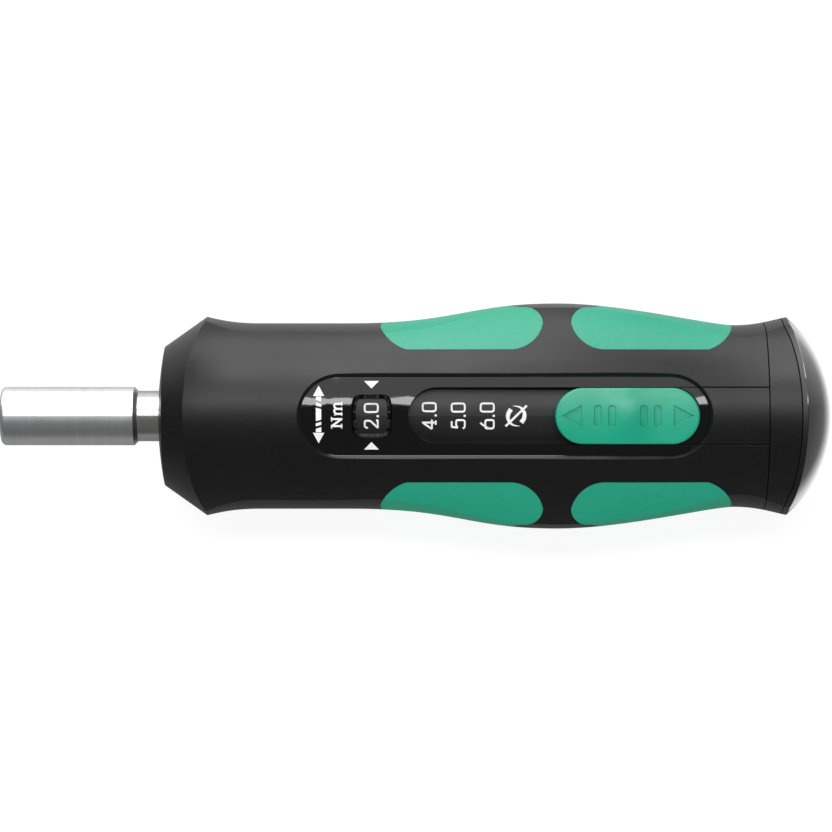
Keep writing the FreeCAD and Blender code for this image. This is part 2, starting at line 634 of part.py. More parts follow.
def selector_carriage():
    """Sliding tube with a toothed front end, a pad under the strip and a shoe round each leaf."""
    pad_front = CARRIAGE_START + PAD_SETBACK
    tube_inner = CARRIAGE_RADIUS - CARRIAGE_WALL
    shoes = block(SHOE_END - SHOE_LENGTH, SHOE_END, SLIDE_GAP - CHANNEL_REACH, CHANNEL_REACH - SLIDE_GAP,
                  SLIDE_GAP - CHANNEL_HALF_HEIGHT, CHANNEL_HALF_HEIGHT - SLIDE_GAP)
    pad = block(pad_front, CARRIAGE_END, -PAD_HALF, PAD_HALF, 0, STRIP_TOP)
    pad = pad.common(arc_band(pad_front, CARRIAGE_END, 0, STRIP_ARC - STRIP_THICKNESS - SEAT_GAP, PAD_HALF))
    foot = block(CLICK_X - CLICK_SPAN, CLICK_X - CLICK_SPAN + CLICK_FOOT, -CLICK_HALF, CLICK_HALF,
                 CLICK_TOP, 0)
    carriage = union([rod(CARRIAGE_START, CARRIAGE_END, CARRIAGE_RADIUS), shoes, pad, foot])
    socket = star(CARRIAGE_START - 1, CARRIAGE_START + NOSE_TEETH, HUB_TIP + HUB_GAP, HUB_ROOT + HUB_GAP, HUB_TEETH)
    bore = rod(CARRIAGE_START + NOSE_TEETH, CARRIAGE_END + 1, tube_inner)
    slots = []
    for side in (1, -1):
        y0, y1 = sorted((side * (LEAF_IN - SLIDE_GAP), side * (LEAF_OUT + FULCRUM_GAP)))
        slots.append(block(CARRIAGE_START, CARRIAGE_END, y0, y1, -LEAF_HALF - SLIDE_GAP, LEAF_HALF + SLIDE_GAP))
    return carriage.cut([socket, bore] + slots)


def click_spring():
    """Leaf under the carriage whose nose drops into the grooves of the bore."""
    x0 = CLICK_X - CLICK_SPAN
    nose = -CAVITY_RADIUS - NOTCH_DEPTH + CLICK_CLEAR
    slope = NOTCH_DEPTH / NOTCH_HALF
    bend = x0 + CLICK_FOOT + 1.5
    rise = CLICK_NOSE * slope
    t = CLICK_THICKNESS
    lower = [(x0, CLICK_TOP - t), (bend, CLICK_TOP - t), (CLICK_X - CLICK_NOSE, nose + rise),
             (CLICK_X, nose), (CLICK_X + CLICK_NOSE, nose + rise), (CLICK_X + 2 * CLICK_NOSE, nose + rise + t)]
    points = [V(x, -CLICK_HALF, z) for x, z in lower] + [V(x, -CLICK_HALF, z + t) for x, z in lower[::-1]]
    return prism(points, V(0, 2 * CLICK_HALF, 0))


# ---------------------------------------------------------------- drive
def bit_holder_sleeve():
    sleeve = rod(0, SLEEVE_LENGTH, SLEEVE_RADIUS)
    mouth = min(sleeve.Edges, key=lambda e: (e.CenterOfMass.x, -e.Length))
    sleeve = sleeve.makeFillet(SLEEVE_MOUTH_ROUND, [mouth])
    rear = max(sleeve.Edges, key=lambda e: (e.CenterOfMass.x, e.Length))
    sleeve = sleeve.makeChamfer(SLEEVE_REAR_CHAMFER, [rear])
    corner = HEX_AF / math.sqrt(3)
    mouth_cone = Part.makeCone(corner + HEX_CHAMFER, corner - HEX_CHAMFER, 2 * HEX_CHAMFER, V(0, 0, 0), V(1, 0, 0))
    groove = rod(RING_GROOVE_X - RING_WIRE - SEAT_GAP, RING_GROOVE_X + RING_WIRE + SEAT_GAP, ring_outer() + SEAT_GAP)
    stub_bore = rod(HEX_DEPTH, SLEEVE_LENGTH + 1, STUB_RADIUS + SEAT_GAP)
    return sleeve.cut([hexagon(-1, HEX_DEPTH, HEX_AF), mouth_cone, groove, stub_bore])


def ring_outer():
    """Outside radius of the retaining ring, which stands a little inside the socket's flats."""
    return HEX_AF / 2 - RING_GRIP + 2 * RING_WIRE


def bit_retaining_ring():
    x0, x1 = RING_GROOVE_X - RING_WIRE, RING_GROOVE_X + RING_WIRE
    ring = tube(x0, x1, ring_outer(), ring_outer() - 2 * RING_WIRE)
    lips = [e for e in ring.Edges if abs(e.BoundBox.YMax - ring_outer() + 2 * RING_WIRE) < 0.001]
    ring = ring.makeChamfer(RING_WIRE * 0.6, lips)
    gap = block(RING_GROOVE_X - 1, RING_GROOVE_X + 1, 0, 10, -RING_SPLIT / 2, RING_SPLIT / 2)
    return ring.cut(gap)


def spindle():
    """One turned piece: stub, neck, collar, hexagonal seat, journal, tail."""
    stub_x = HEX_DEPTH + MAGNET_WALL
    corner = SEAT_AF / math.sqrt(3)
    spindle = union([
        rod(stub_x, SLEEVE_LENGTH, STUB_RADIUS),
        rod(SLEEVE_LENGTH, COLLAR_X, NECK_RADIUS),
        rod(COLLAR_X, CAM_X, COLLAR_RADIUS),
        hexagon(CAM_X, CAM_END, SEAT_AF).common(rod(CAM_X, CAM_END, corner - 0.15)),
        rod(CAM_END, HUB_X, JOURNAL_RADIUS),
        rod(HUB_X, CIRCLIP_X + CIRCLIP + TAIL_END, TAIL_RADIUS),
    ])
    pocket = rod(stub_x - 1, stub_x + MAGNET_LENGTH, MAGNET_RADIUS + SEAT_GAP)
    groove = tube(CIRCLIP_X, CIRCLIP_X + CIRCLIP, TAIL_RADIUS + 1, TAIL_RADIUS - CIRCLIP_DEPTH)
    return spindle.cut([pocket, groove])


def bit_magnet():
    stub_x = HEX_DEPTH + MAGNET_WALL
    return rod(stub_x, stub_x + MAGNET_LENGTH - SEAT_GAP, MAGNET_RADIUS)


def spindle_circlip():
    """Open ring in the groove of the tail."""
    x0, x1 = CIRCLIP_X + SEAT_GAP, CIRCLIP_X + CIRCLIP - SEAT_GAP
    inner = TAIL_RADIUS - CIRCLIP_DEPTH + SEAT_GAP
    clip = tube(x0, x1, CIRCLIP_RADIUS, inner)
    mouth = block(x0 - 1, x1 + 1, 0, CIRCLIP_RADIUS + 1, -inner * 0.7, inner * 0.7)
    return clip.cut(mouth)


def lock_hub():
    hub = star(HUB_END - HUB_TOOTHED, HUB_END, HUB_TIP, HUB_ROOT, HUB_TEETH)
    hub = hub.fuse(rod(HUB_X, HUB_END - HUB_TOOTHED, HUB_ROOT))
    return hub.cut(rod(HUB_X - 1, HUB_END + 1, TAIL_RADIUS + SEAT_GAP))


def detent_cam():
    """Hardened ring with a round-bottomed notch for every thirty degrees."""
    cam = rod(CAM_X, CAM_END, CAM_RADIUS)
    notches = []
    for i in range(NOTCHES):
        turn = 2 * math.pi * i / NOTCHES
        notches.append(along(CAM_X - 1, CAM_END + 1, ROLLER_RADIUS + ROLLER_CLEAR,
                             ROLLER_SEAT * math.cos(turn), ROLLER_SEAT * math.sin(turn)))
    corner = SEAT_AF / math.sqrt(3)
    seat = hexagon(CAM_X - 1, CAM_END + 1, SEAT_AF + 2 * SEAT_GAP).common(rod(CAM_X - 1, CAM_END + 1, corner - 0.1))
    return cam.cut(notches + [seat])


# ---------------------------------------------------------------- clutch in the handle
def front_bush():
    bush_end = BUSH_X + BUSH_LENGTH
    bush = rod(BUSH_X + SEAT_GAP, bush_end + 1, BUSH_RADIUS).fuse(rod(bush_end + SEAT_GAP, BUSH_END, BUSH_FLANGE_RADIUS))
    return bush.cut(rod(BUSH_X - 1, BUSH_END + 1, NECK_RADIUS + RUNNING_GAP))


def thrust_washer():
    return tube(WASHER_X, WASHER_X + WASHER_THICKNESS, WASHER_RADIUS, NECK_RADIUS + 2 * RUNNING_GAP)


def detent_pair():
    """Roller and plunger of each side: the roller lies in a cradle of its plunger."""
    roller = along(CAM_MID - ROLLER_LENGTH / 2, CAM_MID + ROLLER_LENGTH / 2, ROLLER_RADIUS, ROLLER_SEAT, 0)
    half = PLUNGER_LENGTH / 2
    plunger = block(CAM_MID - half, CAM_MID + half, ROLLER_SEAT, PLUNGER_OUT, -PLUNGER_HALF, PLUNGER_HALF)
    cradle = along(CAM_MID - ROLLER_LENGTH / 2 - SEAT_GAP, CAM_MID + ROLLER_LENGTH / 2 + SEAT_GAP,
                   ROLLER_RADIUS + ROLLER_CLEAR, ROLLER_SEAT, 0)
    plunger = plunger.cut(cradle)
    return {
        "detent_roller_left": roller,
        "detent_plunger_left": plunger,
        "detent_roller_right": mirrored_y(roller),
        "detent_plunger_right": mirrored_y(plunger),
    }


def clutch_frame():
    """Block that is pressed into the bore: cam room, plunger guides, rear bearing."""
    reach, rise = CHANNEL_REACH - SEAT_GAP, CHANNEL_HALF_HEIGHT - SEAT_GAP
    frame = rod(CAVITY_X, FRAME_END, CAVITY_RADIUS - SEAT_GAP).fuse(
        block(CAVITY_X, FRAME_END, -reach, reach, -rise, rise))
    half = PLUNGER_LENGTH / 2 + GUIDE_GAP
    wide = PLUNGER_HALF + GUIDE_GAP
    top = STRIP_ARC - STRIP_THICKNESS - SLIDE_GAP
    cuts = [
        rod(CAVITY_X - 1, FRAME_WALL_X, CAM_ROOM),
        rod(FRAME_WALL_X - 1, FRAME_END + 1, JOURNAL_RADIUS + RUNNING_GAP),
        block(CAM_MID - half, CAM_MID + half, -CHANNEL_REACH, CHANNEL_REACH, -wide, wide),
        arc_band(CAVITY_X - 1, FRAME_END + 1, top, top + 9, CAVITY_RADIUS),
    ]
    for side in (1, -1):
        y0, y1 = sorted((side * (LEAF_IN - SLIDE_GAP), side * (CHANNEL_REACH + 1)))
        cuts.append(block(CAVITY_X - 1, FRAME_END + 1, y0, y1, -LEAF_HALF - SLIDE_GAP, LEAF_HALF + SLIDE_GAP))
    return frame.cut(cuts)


def torque_leaf():
    """Flat spring on the left; its clamped end has a hole for the screw."""
    leaf = block(LEAF_X, LEAF_END, LEAF_IN, LEAF_OUT, -LEAF_HALF, LEAF_HALF)
    ends = [e for e in leaf.Edges if abs(e.tangentAt(e.FirstParameter).y) > 0.5]
    leaf = leaf.makeFillet(LEAF_CORNER, ends)
    hole = Part.makeCylinder(CLAMP_SCREW_RADIUS + 2 * SEAT_GAP, 4, V(CLAMP_X, LEAF_IN - 1, 0), V(0, 1, 0))
    return leaf.cut(hole)


def spring_anchor():
    """Block that the leaves are screwed to; the calibration screw shifts it along the bore."""
    end = ANCHOR_X + ANCHOR_LENGTH
    anchor = rod(ANCHOR_X, end, CAVITY_RADIUS - SLIDE_GAP / 2)
    flat = LEAF_IN - SEAT_GAP
    anchor = anchor.common(block(ANCHOR_X, end, -flat, flat, -CAVITY_RADIUS, CAVITY_RADIUS))
    top = STRIP_ARC - STRIP_THICKNESS - SLIDE_GAP
    cuts = [rod(ANCHOR_X - 1, end + 1, CAL_RADIUS + SEAT_GAP),
            arc_band(ANCHOR_X - 1, end + 1, top, top + 9, CAVITY_RADIUS)]
    for side in (1, -1):
        start = V(CLAMP_X, side * (CAL_RADIUS + CLAMP_BLIND), 0)
        cuts.append(Part.makeCylinder(CLAMP_SCREW_RADIUS + SEAT_GAP, 12, start, V(0, side, 0)))
    return anchor.cut(cuts)


def hex_socket(radius, depth):
    """Hexagonal drive hole at the origin that opens towards -Z."""
    turns = [math.radians(60 * i) for i in range(6)]
    return prism([V(radius * math.cos(a), radius * math.sin(a), 0) for a in turns], V(0, 0, depth))


def leaf_clamp_screws():
    screws = []
    for side in (1, -1):
        tip = side * (CAL_RADIUS + CLAMP_BLIND + SEAT_GAP)
        seat = side * (LEAF_OUT + SEAT_GAP)
        shank = Part.makeCylinder(CLAMP_SCREW_RADIUS, abs(seat - tip), V(CLAMP_X, tip, 0), V(0, side, 0))
        head = Part.makeCylinder(CLAMP_HEAD_RADIUS, CLAMP_HEAD, V(CLAMP_X, seat, 0), V(0, side, 0))
        key = hex_socket(CLAMP_SCREW_RADIUS * 0.7, CLAMP_HEAD * 0.6)
        key.rotate(V(0, 0, 0), V(1, 0, 0), side * 90)
        key.translate(V(CLAMP_X, seat + side * CLAMP_HEAD, 0))
        screws.append(shank.fuse(head).cut(key))
    return Part.makeCompound(screws)


def calibration_screw():
    floor_x = RING_X + RECESS_FLOOR + SEAT_GAP
    shank = rod(ANCHOR_X + 1, floor_x, CAL_RADIUS)
    screw = shank.fuse(rod(floor_x, floor_x + CAL_HEAD, CAL_HEAD_RADIUS))
    slot = block(floor_x + CAL_HEAD / 2, floor_x + CAL_HEAD + 1, -CAL_HEAD_RADIUS - 1, CAL_HEAD_RADIUS + 1,
                 -SCREW_SLOT / 2, SCREW_SLOT / 2)
    return screw.cut(slot)


def end_screws():
    screws = []
    head_x = RING_X + RECESS_FLOOR + SCREW_SEAT + SEAT_GAP
    for y, z in screw_places():
        screw = along(RING_X - SCREW_LENGTH + SEAT_GAP, head_x, SCREW_RADIUS, y, z)
        screw = screw.fuse(along(head_x, head_x + SCREW_HEAD, SCREW_HEAD_RADIUS, y, z))
        key = hex_socket(SCREW_RADIUS * 0.8, SCREW_HEAD * 0.6)
        key.rotate(V(0, 0, 0), V(0, 1, 0), -90)
        key.translate(V(head_x + SCREW_HEAD, y, z))
        screws.append(screw.cut(key))
    return Part.makeCompound(screws)


# ---------------------------------------------------------------- all pieces
def build():
    pieces = housing()
    leaf = torque_leaf()
    pieces.update(detent_pair())
    pieces.update({
        "selector_button": selector_button(),
        "scale_strip": scale_strip(),
        "selector_carriage": selector_carriage(),
        "click_spring": click_spring(),
        "bit_holder_sleeve": bit_holder_sleeve(),
        "bit_retaining_ring": bit_retaining_ring(),
        "bit_magnet": bit_magnet(),
        "spindle": spindle(),
        "spindle_circlip": spindle_circlip(),
        "lock_hub": lock_hub(),
        "detent_cam": detent_cam(),
        "front_bush": front_bush(),
        "thrust_washer": thrust_washer(),
        "clutch_frame": clutch_frame(),
        "torque_leaf_left": leaf,
        "torque_leaf_right": mirrored_y(leaf),
        "spring_anchor": spring_anchor(),
        "leaf_clamp_screws": leaf_clamp_screws(),
        "calibration_screw": calibration_screw(),
        "end_screws": end_screws(),
    })
    return pieces


os.makedirs("parts", exist_ok=True)
for node, shape in build().items():
    shape.exportStep(f"parts/{node}.step")
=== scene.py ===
import math

import bmesh
import bpy
from mathutils import Matrix, Vector
from mathutils.bvhtree import BVHTree


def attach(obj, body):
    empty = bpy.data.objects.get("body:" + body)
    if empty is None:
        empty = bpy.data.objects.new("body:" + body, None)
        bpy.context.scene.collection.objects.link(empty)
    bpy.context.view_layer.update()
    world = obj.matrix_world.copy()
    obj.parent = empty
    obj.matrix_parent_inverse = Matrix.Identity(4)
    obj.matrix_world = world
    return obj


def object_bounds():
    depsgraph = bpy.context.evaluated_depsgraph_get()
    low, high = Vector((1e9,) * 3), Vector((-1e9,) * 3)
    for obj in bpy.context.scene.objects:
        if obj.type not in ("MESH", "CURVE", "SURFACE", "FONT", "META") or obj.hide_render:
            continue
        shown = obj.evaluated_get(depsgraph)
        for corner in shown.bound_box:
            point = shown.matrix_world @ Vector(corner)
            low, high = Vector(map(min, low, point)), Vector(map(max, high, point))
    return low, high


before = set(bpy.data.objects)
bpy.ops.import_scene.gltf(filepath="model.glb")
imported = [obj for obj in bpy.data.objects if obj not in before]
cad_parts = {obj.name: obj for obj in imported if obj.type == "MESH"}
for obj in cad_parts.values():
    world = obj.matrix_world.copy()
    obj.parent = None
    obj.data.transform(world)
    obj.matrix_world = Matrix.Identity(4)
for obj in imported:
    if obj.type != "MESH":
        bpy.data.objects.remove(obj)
cad_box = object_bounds()

# An adjustable torque screwdriver lying on its back, the broad face with the scale upwards.
# The solids come from model.glb. This script gives them their finishes, prints the scale and
# the panel, and sets up the stage. Lengths are in metres, and most are written as so many MM.
MM = 0.001

# Placing of the print along the tool, in mm from the bit holder's mouth.
ARROW_X = 56.6
ARROW_MIDDLE_Y = 0.28
HEAD_HALF_WIDTH = 0.98
SHAFT_HALF_WIDTH = 0.47
SHAFT_SLANT = 0.14
UNIT_X = 59.75
WINDOW_X = 65.8
SCALE_STEP = 5.05
SCALE_VALUES = ("2.0", "3.0", "4.0", "5.0", "6.0")

# The domed end's sphere, and the seams beside the slot's closing strip.
DOME_CENTRE_X = 123.444
DOME_RADIUS = 23.6
SEAM_Y = 5.0
SEAM_START_X = 119.5
SEAM_END_X = 134.9

# Printing ink.
INK_LIFT = 0.016
INK_HALF_THICKNESS = 0.01
DRAPE_STEP = 0.45

# The scale's figures.
STROKE = 0.35
FIGURE_HEIGHT = 2.28


# ---------------------------------------------------------------------------
# Node trees
# ---------------------------------------------------------------------------

def add(tree, kind, inputs=None, **settings):
    """A new shader node. inputs gives its sockets a value or another node's output."""
    node = tree.nodes.new("ShaderNode" + kind)
    for name, value in settings.items():
        setattr(node, name, value)
    for name, value in (inputs or {}).items():
        if isinstance(value, bpy.types.NodeSocket):
            tree.links.new(value, node.inputs[name])
        else:
            node.inputs[name].default_value = value
    return node


def calc(tree, operation, *values, clamp=False):
    """The output of a Math node."""
    node = add(tree, "Math", dict(enumerate(values)), operation=operation, use_clamp=clamp)
    return node.outputs[0]


def blend_values(tree, share, low, high):
    """low where share is 0, and high where it is 1."""
    return add(tree, "Mix", {"Factor": share, "A": low, "B": high}, data_type="FLOAT").outputs[0]


def blend_colours(tree, share, first, second):
    """first where share is 0, and second where it is 1."""
    node = add(tree, "Mix", data_type="RGBA")
    for index, value in ((0, share), (6, first), (7, second)):
        if isinstance(value, bpy.types.NodeSocket):
            tree.links.new(value, node.inputs[index])
        else:
            node.inputs[index].default_value = value
    return node.outputs[2]


def blend_normals(tree, share, first, second):
    """first where share is 0, and second where it is 1."""
    node = add(tree, "Mix", data_type="VECTOR")
    for index, value in ((0, share), (4, first), (5, second)):
        tree.links.new(value, node.inputs[index])
    return node.outputs[1]


def object_place(tree):
    return add(tree, "TexCoord").outputs["Object"]


def effect(name, inputs, outputs):
    """An empty node group with named sockets: (the group, what comes in, what goes out)."""
    tree = bpy.data.node_groups.new(name, "ShaderNodeTree")
    for label, kind, value in inputs:
        socket = tree.interface.new_socket(label, in_out="INPUT", socket_type="NodeSocket" + kind)
        if value is not None:
            socket.default_value = value
    for label, kind in outputs:
        tree.interface.new_socket(label, in_out="OUTPUT", socket_type="NodeSocket" + kind)
    return tree, tree.nodes.new("NodeGroupInput").outputs, tree.nodes.new("NodeGroupOutput").inputs


def use(tree, group, **inputs):
    """A group placed in a tree, with its own values. Names use _ for a space."""
    node = tree.nodes.new("ShaderNodeGroup")
    node.node_tree = group
    for name, value in inputs.items():
        socket = node.inputs[name.replace("_", " ")]
        if isinstance(value, bpy.types.NodeSocket):
            tree.links.new(value, socket)
        else:
            socket.default_value = value
    return node.outputs


def moulded_grain_effect():
    """The fine grain that a spark-eroded mould leaves: rounded pits of two sizes."""
    tree, given, out = effect(
        "moulded grain",
        [("Place", "Vector", None), ("Grains", "Float", 3000.0)],
        [("Height", "Float"), ("Tone", "Float")])
    fine = add(tree, "TexNoise", {"Vector": given["Place"], "Scale": given["Grains"],
                                  "Detail": 2.0, "Roughness": 0.55})
    coarse_scale = calc(tree, "MULTIPLY", given["Grains"], 0.31)
    coarse = add(tree, "TexNoise", {"Vector": given["Place"], "Scale": coarse_scale,
                                    "Detail": 1.0})
    height = blend_values(tree, 0.35, fine.outputs["Fac"], coarse.outputs["Fac"])
    tree.links.new(height, out["Height"])
    tree.links.new(coarse.outputs["Fac"], out["Tone"])
    return tree


def handling_effect():
    """Large soft patches where hands have polished or dulled the surface, from -1 to 1."""
    tree, given, out = effect(
        "handling", [("Place", "Vector", None), ("Patches", "Float", 70.0)], [("Shift", "Float")])
    patches = add(tree, "TexNoise", {"Vector": given["Place"], "Scale": given["Patches"],
                                     "Detail": 4.0, "Roughness": 0.6})
    spread = calc(tree, "MULTIPLY_ADD", patches.outputs["Fac"], 4.0, -2.0)
    low = calc(tree, "MAXIMUM", spread, -1.0)
    tree.links.new(calc(tree, "MINIMUM", low, 1.0), out["Shift"])
    return tree


def turned_lines_effect():
    """Tool lines of turned metal: rings round the X axis on round sides and on flat ends."""
    tree, given, out = effect(
        "turned lines",
        [("Place", "Vector", None), ("Lines", "Float", 9000.0)],
        [("Height", "Float"), ("Tone", "Float")])
    parts = add(tree, "SeparateXYZ", {0: given["Place"]}).outputs
    across = calc(tree, "SQRT", calc(
        tree, "ADD", calc(tree, "POWER", parts["Y"], 2.0), calc(tree, "POWER", parts["Z"], 2.0)))
    run = calc(tree, "ADD", parts["X"], across)
    fine = add(tree, "TexNoise", {"W": run, "Scale": given["Lines"], "Detail": 3.0},
               noise_dimensions="1D")
    broad = add(tree, "TexNoise", {"W": run, "Scale": calc(tree, "MULTIPLY", given["Lines"], 0.08),
                                   "Detail": 2.0}, noise_dimensions="1D")
    tree.links.new(fine.outputs["Fac"], out["Height"])
    tree.links.new(broad.outputs["Fac"], out["Tone"])
    return tree


def hairlines_effect():
    """Short hairline scratches in the length of the tool, as a mask."""
    tree, given, out = effect(
        "hairlines", [("Place", "Vector", None), ("Amount", "Float", 0.3)], [("Mask", "Float")])
    stretched = add(tree, "Mapping", {"Vector": given["Place"], "Scale": (120.0, 5200.0, 5200.0),
                                      "Rotation": (0.0, 0.0, 0.12)}).outputs[0]
    streaks = add(tree, "TexNoise", {"Vector": stretched, "Scale": 1.0, "Detail": 1.0})
    peaks = add(tree, "MapRange", {"Value": streaks.outputs["Fac"], "From Min": 0.66,
                                   "From Max": 0.74})
    tree.links.new(calc(tree, "MULTIPLY", peaks.outputs[0], given["Amount"]), out["Mask"])
    return tree


def race_track_effect():
    """1 inside a race-track outline on the broad face, 0 outside it, with a soft edge."""
    tree, given, out = effect(
        "race track",
        [("Place", "Vector", None), ("Middle", "Float", 0.0), ("Straight Half", "Float", 0.0),
         ("Round", "Float", 0.0), ("Edge", "Float", 0.0001)],
        [("Mask", "Float")])
    parts = add(tree, "SeparateXYZ", {0: given["Place"]}).outputs
    along = calc(tree, "ABSOLUTE", calc(tree, "SUBTRACT", parts["X"], given["Middle"]))
    past = calc(tree, "MAXIMUM", calc(tree, "SUBTRACT", along, given["Straight Half"]), 0.0)
    reach = calc(tree, "SQRT", calc(
        tree, "ADD", calc(tree, "POWER", past, 2.0), calc(tree, "POWER", parts["Y"], 2.0)))
    inside = calc(tree, "SUBTRACT", given["Round"], reach)
    mask = calc(tree, "DIVIDE", inside, given["Edge"], clamp=True)
    upper = calc(tree, "GREATER_THAN", parts["Z"], 0.0)
    tree.links.new(calc(tree, "MULTIPLY", mask, upper), out["Mask"])
    return tree


def seam_shade_pair_effect():
    """The two seams beside the slot's closing strip, as a mask for the painted shade in their gaps.
    """
    tree, given, out = effect("seam shade pair", [("Place", "Vector", None)], [("Mask", "Float")])
    parts = add(tree, "SeparateXYZ", {0: given["Place"]}).outputs
    aside = calc(tree, "ABSOLUTE", calc(tree, "SUBTRACT", calc(tree, "ABSOLUTE", parts["Y"]),
                                        SEAM_Y * MM))
    line = add(tree, "MapRange", {"Value": aside, "From Min": 0.14 * MM, "From Max": 0.08 * MM})
    behind = calc(tree, "GREATER_THAN", parts["X"], SEAM_START_X * MM)
    before = calc(tree, "LESS_THAN", parts["X"], SEAM_END_X * MM)
    upper = calc(tree, "GREATER_THAN", parts["Z"], 0.0)
    run = calc(tree, "MULTIPLY", calc(tree, "MULTIPLY", behind, before), upper)
    tree.links.new(calc(tree, "MULTIPLY", line.outputs[0], run), out["Mask"])
    return tree


def rounded_edges_effect():
    """Catches light along edges as if they had a small radius."""
    tree, given, out = effect("rounded edges", [("Radius", "Float", 0.0002)],
                              [("Normal", "Vector")])
    rounded = add(tree, "Bevel", {"Radius": given["Radius"]}, samples=4)
    tree.links.new(rounded.outputs[0], out["Normal"])
    return tree


MOULDED_GRAIN = moulded_grain_effect()
HANDLING = handling_effect()
TURNED_LINES = turned_lines_effect()
HAIRLINES = hairlines_effect()
RACE_TRACK = race_track_effect()
SEAM_SHADE_PAIR = seam_shade_pair_effect()
ROUNDED_EDGES = rounded_edges_effect()


# ---------------------------------------------------------------------------
# Finishes
# ---------------------------------------------------------------------------

def finish(name, **constants):
    """A material with its Principled shader: (material, tree, shader)."""
    material = bpy.data.materials.new(name)
    material.use_nodes = True
    tree = material.node_tree
    shader = tree.nodes["Principled BSDF"]
    for label, value in constants.items():
        shader.inputs[label.replace("_", " ")].default_value = value
    return material, tree, shader


def raise_surface(tree, shader, height, depth, normal=None):
    """Feeds a height through a Bump node to the shader's normal."""
    inputs = {"Height": height, "Strength": 1.0, "Distance": depth}
    if normal is not None:
        inputs["Normal"] = normal
    bump = add(tree, "Bump", inputs)
    tree.links.new(bump.outputs[0], shader.inputs["Normal"])


def moulded_plastic(name, colour, worn_colour, roughness, grains, depth, edge=0.15, swing=0.05,
                    **constants):
    """Grained plastic or soft grip, a little uneven in colour and in gloss."""
    material, tree, shader = finish(name, **constants)
    place = object_place(tree)
    grain = use(tree, MOULDED_GRAIN, Place=place, Grains=grains)
    hands = use(tree, HANDLING, Place=place)
    tone = calc(tree, "MULTIPLY_ADD", hands["Shift"], 0.25, grain["Tone"], clamp=True)
    tree.links.new(blend_colours(tree, tone, colour, worn_colour), shader.inputs["Base Color"])
    tree.links.new(calc(tree, "MULTIPLY_ADD", hands["Shift"], swing, roughness),
                   shader.inputs["Roughness"])
    edges = use(tree, ROUNDED_EDGES, Radius=edge * MM)
    raise_surface(tree, shader, grain["Height"], depth * MM, edges["Normal"])
    return material


def shell_plastic():
    """The housing: grained satin black, mirror gloss inside the sunk panel, and painted shade along
    the seams beside the slot's closing strip.
    """
    material, tree, shader = finish("satin black shell with gloss panel", Specular_IOR_Level=0.3)
    place = object_place(tree)
    panel = use(tree, RACE_TRACK, Place=place, Middle=89.0 * MM, Straight_Half=28.8 * MM,
                Round=7.0 * MM, Edge=0.12 * MM)["Mask"]
    grain = use(tree, MOULDED_GRAIN, Place=place, Grains=4200.0)
    hands = use(tree, HANDLING, Place=place)
    hair = use(tree, HAIRLINES, Place=place, Amount=0.1)
    tone = calc(tree, "MULTIPLY_ADD", hands["Shift"], 0.2, grain["Tone"], clamp=True)
    satin = blend_colours(tree, tone, (0.0046, 0.0046, 0.005, 1), (0.0075, 0.0075, 0.008, 1))
    # Painted shade: the seams are darkened almost to black, as if shade fell in their gaps, as well
    # as being dulled and sunk by the bump.
    seam = use(tree, SEAM_SHADE_PAIR, Place=place)["Mask"]
    outer = blend_colours(tree, panel, satin, (0.0018, 0.0018, 0.002, 1))
    tree.links.new(blend_colours(tree, seam, outer, (0.0004, 0.0004, 0.0004, 1)),
                   shader.inputs["Base Color"])
    dull = calc(tree, "MULTIPLY_ADD", hands["Shift"], 0.035, 0.36)
    bright = calc(tree, "ADD", 0.07, hair["Mask"])
    tree.links.new(blend_values(tree, seam, blend_values(tree, panel, dull, bright), 1.0),
                   shader.inputs["Roughness"])
    tree.links.new(calc(tree, "MULTIPLY", panel, 0.45), shader.inputs["Coat Weight"])
    edges = use(tree, ROUNDED_EDGES, Radius=0.12 * MM)
    true_form = add(tree, "NewGeometry").outputs["Normal"]
    smooth = blend_normals(tree, panel, edges["Normal"], true_form)
    flat = calc(tree, "SUBTRACT", 1.0, panel)
    grained = calc(tree, "MULTIPLY", grain["Height"], flat)
    raise_surface(tree, shader, calc(tree, "MULTIPLY_ADD", seam, -4.0, grained), 0.012 * MM,
                  smooth)
    return material


def end_cap_plastic():
    """The domed end: polished over its sphere, satin on the narrow band up to the seam."""
    material, tree, shader = finish("polished black end cap")
    place = object_place(tree)
    reach = add(tree, "VectorMath", {0: place, 1: (DOME_CENTRE_X * MM, 0.0, 0.0)},
                operation="DISTANCE").outputs["Value"]
    past_band = calc(tree, "SUBTRACT", reach, (DOME_RADIUS - 0.13) * MM)
    sphere = calc(tree, "DIVIDE", past_band, 0.08 * MM, clamp=True)
    hands = use(tree, HANDLING, Place=place, Patches=110.0)
    hair = use(tree, HAIRLINES, Place=place, Amount=0.12)
    tone = calc(tree, "MULTIPLY_ADD", hands["Shift"], 0.5, 0.5)
    tree.links.new(blend_colours(tree, tone, (0.0035, 0.0035, 0.004, 1), (0.005, 0.005, 0.0055, 1)),
                   shader.inputs["Base Color"])
    smooth = calc(tree, "MULTIPLY_ADD", hands["Shift"], 0.02, 0.1)
    polished = calc(tree, "ADD", smooth, hair["Mask"])
    tree.links.new(blend_values(tree, sphere, 0.42, polished), shader.inputs["Roughness"])
    tree.links.new(sphere, shader.inputs["Coat Weight"])
    edges = use(tree, ROUNDED_EDGES, Radius=0.07 * MM)
    raise_surface(tree, shader, hair["Mask"], 0.002 * MM, edges["Normal"])
    return material


